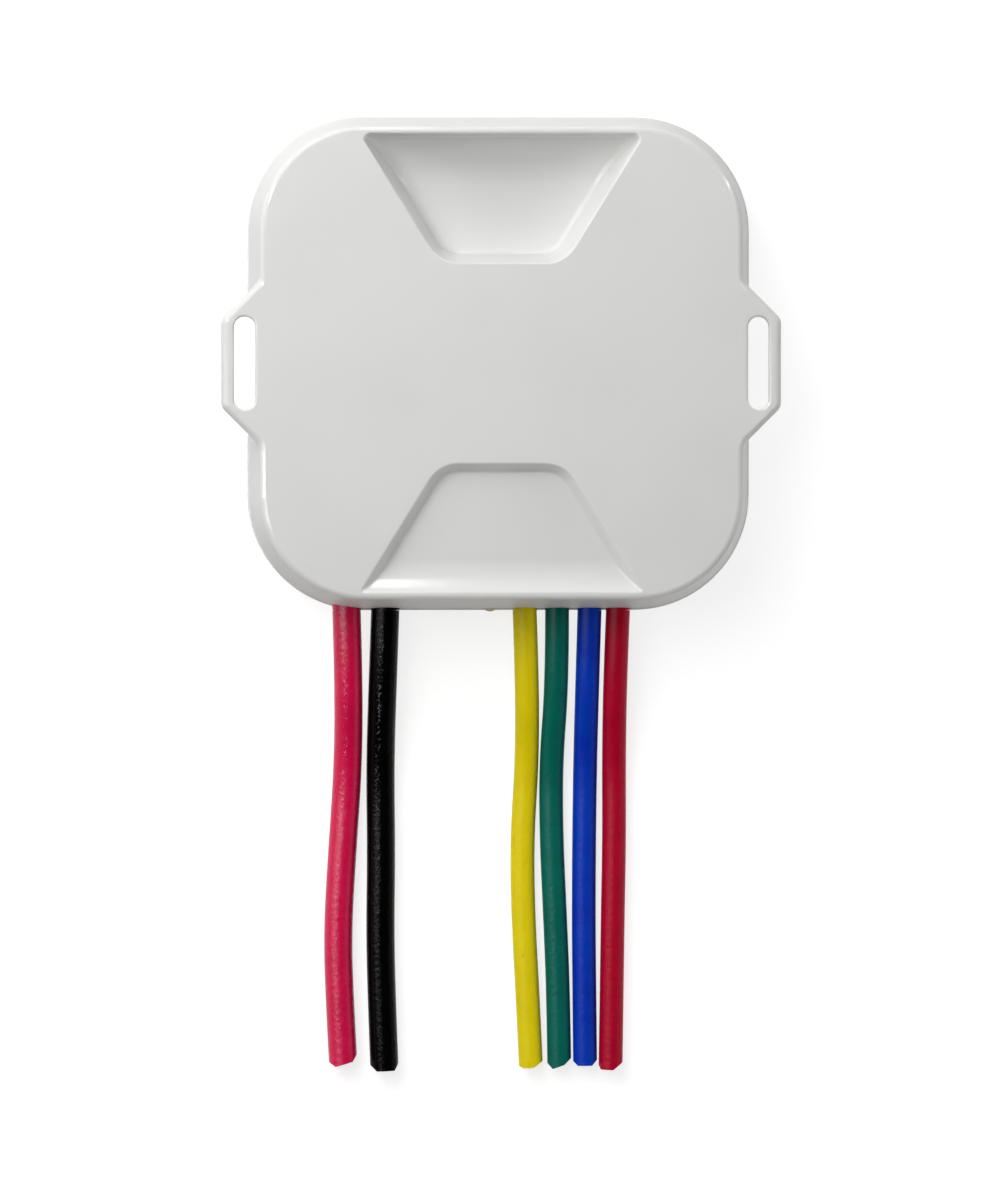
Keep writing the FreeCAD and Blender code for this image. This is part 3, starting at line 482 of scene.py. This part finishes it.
def build_brushing():
    """Metal drawn in one direction: roughness and height that change across the grain."""
    tree, given, result = group_tree(
        "brushing", {"Scale": 900.0, "Roughness": 0.35, "Spread": 0.2},
        {"Roughness": "Float", "Height": "Float"},
    )
    drawn_out = object_vector(tree, squeeze=(1, 0.06, 1))
    lines = noise(tree, drawn_out, given["Scale"], detail=3.0)
    feed(tree, result["Roughness"], vary(tree, given["Roughness"], lines, given["Spread"]))
    feed(tree, result["Height"], lines)
    return tree


def build_board_tracks():
    """Copper tracks under a board's solder mask, as a mask, and small vias."""
    tree, given, result = group_tree(
        "board_tracks", {"Pitch": 260.0}, {"Tracks": "Float", "Vias": "Float"},
    )
    rings_per_cell, ring_height, track_begins, track_full = 3.0, 0.5, 0.2, 0.26
    vias_per_cell, via_rim, via_middle = 1.7, 0.16, 0.1
    place = object_vector(tree)
    cells = tree.nodes.new("ShaderNodeTexVoronoi")
    cells.distance = "CHEBYCHEV"
    feed(tree, cells.inputs["Vector"], place)
    feed(tree, cells.inputs["Scale"], given["Pitch"])
    steps = calculate(tree, "MULTIPLY", cells.outputs["Distance"], rings_per_cell)
    rings = calculate(tree, "PINGPONG", steps, ring_height)
    feed(tree, result["Tracks"], stretch(tree, track_begins, track_full, rings))
    dots = tree.nodes.new("ShaderNodeTexVoronoi")
    feed(tree, dots.inputs["Vector"], place)
    feed(tree, dots.inputs["Scale"], calculate(tree, "MULTIPLY", given["Pitch"], vias_per_cell))
    feed(tree, result["Vias"], stretch(tree, via_rim, via_middle, dots.outputs["Distance"]))
    return tree


moulded_skin = build_moulded_skin()
upright_walls = build_upright_walls()
scuffs = build_scuffs()
painted_glint_line = build_painted_glint_line()
brushing = build_brushing()
board_tracks = build_board_tracks()


# Materials

# How far each surface's height reaches, in metres
PLASTIC_RELIEF = 0.00002
INSULATION_RELIEF = 0.00012
METAL_RELIEF = 0.00001
BOARD_RELIEF = 0.00003

# Plastics, rubbers, resins and ceramics: colour, colour of the flow marks, and surface
PLASTICS = {
    "cover_plastic": dict(
        color=(0.82, 0.82, 0.804), flow_color=(0.795, 0.796, 0.782),
        roughness=0.10, spread=0.04, grain=0.06, wave=0.35, side_dulling=0.4),
    "base_plastic": dict(
        color=(0.85, 0.85, 0.835), flow_color=(0.83, 0.831, 0.816),
        roughness=0.15, spread=0.06, grain=0.2, wave=0.3),
    "gasket_rubber": dict(
        color=(0.012, 0.012, 0.013), flow_color=(0.02, 0.02, 0.021),
        roughness=0.7, spread=0.1, grain=1.0, wave=0.3),
    "sealant": dict(
        color=(0.88, 0.85, 0.64), flow_color=(0.82, 0.77, 0.52),
        roughness=0.35, spread=0.1, grain=0.3, wave=1.0),
    "clamp_plastic": dict(
        color=(0.015, 0.015, 0.017), flow_color=(0.024, 0.024, 0.026),
        roughness=0.45, spread=0.1, grain=1.0, wave=0.3),
    "chip_epoxy": dict(
        color=(0.006, 0.006, 0.007), flow_color=(0.012, 0.012, 0.013),
        roughness=0.55, spread=0.15, grain=1.0, wave=0.2, flow_scale=200.0, grain_scale=4000.0),
    "ferrite": dict(
        color=(0.035, 0.035, 0.038), flow_color=(0.055, 0.054, 0.055),
        roughness=0.6, spread=0.15, grain=1.5, wave=0.2, flow_scale=200.0, grain_scale=3000.0),
    "fuse_ceramic": dict(
        color=(0.78, 0.76, 0.70), flow_color=(0.70, 0.68, 0.62),
        roughness=0.45, spread=0.1, grain=0.8, wave=0.2, flow_scale=200.0, grain_scale=3000.0),
    "capacitor_ceramic": dict(
        color=(0.34, 0.20, 0.10), flow_color=(0.28, 0.16, 0.08),
        roughness=0.4, spread=0.1, grain=0.8, wave=0.2, flow_scale=300.0, grain_scale=4000.0),
}

METALS = {
    "stranded_copper": dict(color=(0.86, 0.47, 0.28), roughness=0.32),
    "screw_steel": dict(color=(0.56, 0.56, 0.58), roughness=0.3),
    "solder": dict(color=(0.66, 0.67, 0.69), roughness=0.28, spread=0.15, scale=500.0),
    "tinned_metal": dict(color=(0.70, 0.71, 0.73), roughness=0.3),
    "can_aluminium": dict(color=(0.74, 0.75, 0.77), roughness=0.25, spread=0.15),
}

# Circuit boards
BOARD_GREEN = (0.008, 0.10, 0.035)
TRACK_GREEN = (0.015, 0.17, 0.06)
VIA_TIN = (0.45, 0.43, 0.38)
BOARD_ROUGHNESS = 0.3

# The leads' insulation: colour, colour of the flow marks, colour of the scuffs and of the painted
# glint specks, and surface
INSULATIONS = {
    "pink_insulation": dict(
        color=(0.78, 0.001, 0.078), flow_color=(0.72, 0.001, 0.068), scuff_and_glint_color=(0.88, 0.22, 0.32),
        roughness=0.32, cover=0.25, specular=0.38, painted_glint_cover=0.45),
    "black_insulation": dict(
        color=(0.0008, 0.0008, 0.0008), flow_color=(0.0012, 0.0012, 0.0012),
        scuff_and_glint_color=(0.15, 0.15, 0.16), roughness=0.24, cover=0.10, specular=0.08, painted_glint_cover=0.50),
    "yellow_insulation": dict(
        color=(0.97, 0.79, 0.003), flow_color=(0.93, 0.74, 0.003), scuff_and_glint_color=(0.66, 0.52, 0.02),
        roughness=0.38, cover=0.25),
    "green_insulation": dict(
        color=(0.001, 0.163, 0.123), flow_color=(0.001, 0.143, 0.108),
        scuff_and_glint_color=(0.05, 0.24, 0.20), roughness=0.34, cover=0.2),
    "blue_insulation": dict(
        color=(0.001, 0.050, 0.58), flow_color=(0.001, 0.034, 0.52), scuff_and_glint_color=(0.04, 0.12, 0.62),
        roughness=0.38, cover=0.2),
    "red_insulation": dict(
        color=(0.55, 0.001, 0.030), flow_color=(0.49, 0.001, 0.025), scuff_and_glint_color=(0.62, 0.04, 0.07),
        roughness=0.38, cover=0.2),
}


def new_material(name):
    """A material with its tree and the sockets of its plain shader."""
    material = bpy.data.materials.new(name)
    material.use_nodes = True
    tree = material.node_tree
    return material, tree, tree.nodes["Principled BSDF"].inputs


def place_group(tree, group, **values):
    """One use of a node group, with its own values."""
    node = tree.nodes.new("ShaderNodeGroup")
    node.node_tree = group
    for label, value in values.items():
        feed(tree, node.inputs[label.replace("_", " ")], value)
    return node.outputs


def bump(tree, shader, height, distance):
    """A height that tilts the surface."""
    node = tree.nodes.new("ShaderNodeBump")
    node.inputs["Distance"].default_value = distance
    feed(tree, node.inputs["Height"], height)
    feed(tree, shader["Normal"], node.outputs["Normal"])


def plastic(name, color, flow_color, roughness, spread, grain, wave, flow_scale=60.0,
            grain_scale=1500.0, side_dulling=0.0):
    """A moulded plastic. The mould's upright walls may leave it duller than its face."""
    material, tree, shader = new_material(name)
    skin = place_group(
        tree, moulded_skin, Color=opaque(color), Flow_Color=opaque(flow_color),
        Flow_Scale=flow_scale, Roughness=roughness, Roughness_Spread=spread,
        Grain_Scale=grain_scale, Grain=grain, Wave=wave,
    )
    feed(tree, shader["Base Color"], skin["Color"])
    upright = place_group(tree, upright_walls)["Mask"]
    dulled = calculate(tree, "MULTIPLY", upright, side_dulling)
    feed(tree, shader["Roughness"], calculate(tree, "ADD", skin["Roughness"], dulled))
    bump(tree, shader, skin["Height"], PLASTIC_RELIEF)
    return material


def metal(name, color, roughness, spread=0.2, scale=900.0):
    """A drawn or rolled metal with darker clouds."""
    cloud_scale, cloud_begins, cloud_full, cloud_shade = 400.0, 0.35, 0.7, 0.8
    material, tree, shader = new_material(name)
    lines = place_group(tree, brushing, Scale=scale, Roughness=roughness, Spread=spread)
    clouds = stretch(
        tree, cloud_begins, cloud_full, noise(tree, object_vector(tree), cloud_scale))
    darker = tuple(cloud_shade * channel for channel in color)
    feed(tree, shader["Base Color"], blend_colors(tree, clouds, opaque(color), opaque(darker)))
    feed(tree, shader["Roughness"], lines["Roughness"])
    feed(tree, shader["Metallic"], 1.0)
    bump(tree, shader, lines["Height"], METAL_RELIEF)
    return material


def board_laminate():
    """Green solder mask over copper tracks, with tinned vias."""
    material, tree, shader = new_material("board_laminate")
    tracks = place_group(tree, board_tracks, Pitch=260.0)
    green = blend_colors(tree, tracks["Tracks"], opaque(BOARD_GREEN), opaque(TRACK_GREEN))
    feed(tree, shader["Base Color"], blend_colors(tree, tracks["Vias"], green, opaque(VIA_TIN)))
    feed(tree, shader["Metallic"], tracks["Vias"])
    feed(tree, shader["Roughness"], BOARD_ROUGHNESS)
    bump(tree, shader, tracks["Tracks"], BOARD_RELIEF)
    return material


def insulation(name, color, flow_color, scuff_and_glint_color, roughness, cover, specular=0.12, painted_glint_cover=0.0):
    """A lead's insulation: satin, finely uneven along its length, with worn scuffs and painted
    glint specks.
    """
    scuff_and_glint_dulling = 0.2
    material, tree, shader = new_material(name)
    skin = place_group(
        tree, moulded_skin, Color=opaque(color), Flow_Color=opaque(flow_color), Flow_Scale=180.0,
        Roughness=roughness, Roughness_Spread=0.15, Grain_Scale=1600.0, Grain=0.6, Wave=1.0,
    )
    marks = place_group(tree, scuffs, Scale=700.0, Cover=cover)["Mask"]
    # Painted glints: bright specks where the lamp's highlight falls on the lead, laid in the
    # scuffs' colour together with the real scuff marks
    line = place_group(tree, painted_glint_line, Scale=3400.0, Cover=painted_glint_cover)["Mask"]
    mask = calculate(tree, "MAXIMUM", marks, line)
    feed(tree, shader["Base Color"], blend_colors(tree, mask, skin["Color"], opaque(scuff_and_glint_color)))
    dulled = calculate(tree, "MULTIPLY", mask, scuff_and_glint_dulling)
    feed(tree, shader["Roughness"], calculate(tree, "ADD", skin["Roughness"], dulled))
    feed(tree, shader["Specular IOR Level"], specular)
    bump(tree, shader, skin["Height"], INSULATION_RELIEF)
    return material


MATERIALS = {name: plastic(name, **look) for name, look in PLASTICS.items()}
MATERIALS.update({name: metal(name, **look) for name, look in METALS.items()})
MATERIALS["board_laminate"] = board_laminate()
MATERIALS.update({name: insulation(name, **look) for name, look in INSULATIONS.items()})


def dress(piece, material):
    """Give an object one material in all its slots."""
    if not piece.data.materials:
        piece.data.materials.append(material)
    for place in piece.material_slots:
        place.material = material


def dress_nodes():
    """Each CAD node gets the material that the record names for it."""
    for part in frame["record"]["subparts"]:
        dress(frame["nodes"][part["node"]], MATERIALS[part["material_slot"]])


def sealant_trace():
    """A small bead of sealant that has squeezed out at the parting line."""
    bm = bmesh.new()
    bmesh.ops.create_icosphere(bm, subdivisions=3, radius=BEAD_RADIUS * MM)
    bmesh.ops.scale(bm, vec=BEAD_STRETCH, verts=bm.verts)
    right_end = [vertex for vertex in bm.verts if vertex.co.x > BEAD_SAG_FROM * MM]
    bmesh.ops.translate(bm, vec=[part * MM for part in BEAD_SAG], verts=right_end)
    bmesh.ops.translate(bm, vec=Vector(BEAD_PLACE) * MM, verts=bm.verts)
    trace = link("sealant_trace", smooth_mesh(bm, "sealant_trace"))
    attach(trace, "root")
    dress(trace, MATERIALS["sealant"])


dress_nodes()
for name, (tube, bundle) in lead_pieces.items():
    dress(tube, MATERIALS[name + "_insulation"])
    dress(bundle, MATERIALS["stranded_copper"])
sealant_trace()


# Floor, lights and room

def floor_material():
    """A white floor: it shows white where nothing shades it, and keeps the shadows."""
    material = bpy.data.materials.new("white_floor")
    material.use_nodes = True
    tree = material.node_tree
    tree.nodes.remove(tree.nodes["Principled BSDF"])
    paint = tree.nodes.new("ShaderNodeBsdfDiffuse")
    paint.inputs["Color"].default_value = grey(FLOOR_GREY)
    glow = tree.nodes.new("ShaderNodeEmission")
    rays = tree.nodes.new("ShaderNodeLightPath").outputs
    mirrored = calculate(tree, "MAXIMUM", rays["Is Glossy Ray"], rays["Is Transmission Ray"])
    seen = calculate(tree, "MAXIMUM", rays["Is Camera Ray"], mirrored)
    feed(tree, glow.inputs["Strength"], calculate(tree, "MULTIPLY", seen, FLOOR_GLOW))
    total = tree.nodes.new("ShaderNodeAddShader")
    feed(tree, total.inputs[0], paint.outputs["BSDF"])
    feed(tree, total.inputs[1], glow.outputs["Emission"])
    feed(tree, tree.nodes["Material Output"].inputs["Surface"], total.outputs["Shader"])
    return material


def lay_floor():
    """The floor, a hair under the module."""
    bm = bmesh.new()
    bmesh.ops.create_grid(bm, x_segments=1, y_segments=1, size=FLOOR_HALF_SIZE)
    bmesh.ops.translate(bm, vec=(0, 0, -FLOOR_DROP), verts=bm.verts)
    mesh = bpy.data.meshes.new("floor")
    bm.to_mesh(mesh)
    bm.free()
    floor = link("floor", mesh)
    floor.data.materials.append(floor_material())


def area_light(name, azimuth, elevation, distance, size, power):
    """A square light that faces the middle of the module."""
    data = bpy.data.lights.new(name, "AREA")
    data.size = size
    data.energy = power
    light = link(name, data)
    around, above = math.radians(azimuth), math.radians(elevation)
    towards = Vector((
        math.cos(around) * math.cos(above), math.sin(around) * math.cos(above), math.sin(above)))
    light.location = LIGHTS_AIM + towards * distance
    light.rotation_euler = towards.to_track_quat("Z", "Y").to_euler()
    return light


def hang_lights():
    """The soft lights, and the strips that give the gloss its glints."""
    for name, (*setting, mirrored) in SOFT_LIGHTS.items():
        light = area_light(name, *setting)
        light.visible_glossy = mirrored
    for name, (*setting, width) in GLINT_STRIPS.items():
        light = area_light(name, *setting)
        light.data.shape = "RECTANGLE"
        light.data.size_y = light.data.size
        light.data.size = width
        light.visible_diffuse = False


def pale_room():
    """A room whose walls are pale, paler still at their foot, and whose ceiling is dark."""
    world = bpy.data.worlds.new("pale_room")
    bpy.context.scene.world = world
    world.use_nodes = True
    tree = world.node_tree
    height = component(tree, coordinates(tree, "Generated"), "Z")
    walls = blend_colors(
        tree, stretch(tree, *WALLS_BEGIN, height), grey(ROOM_FOOT), grey(ROOM_WALLS))
    room = blend_colors(tree, stretch(tree, *CEILING_BEGINS, height), walls, grey(ROOM_CEILING))
    feed(tree, tree.nodes["Background"].inputs["Color"], room)


lay_floor()
hang_lights()
pale_room()
bpy.context.scene.view_settings.view_transform = "Standard"
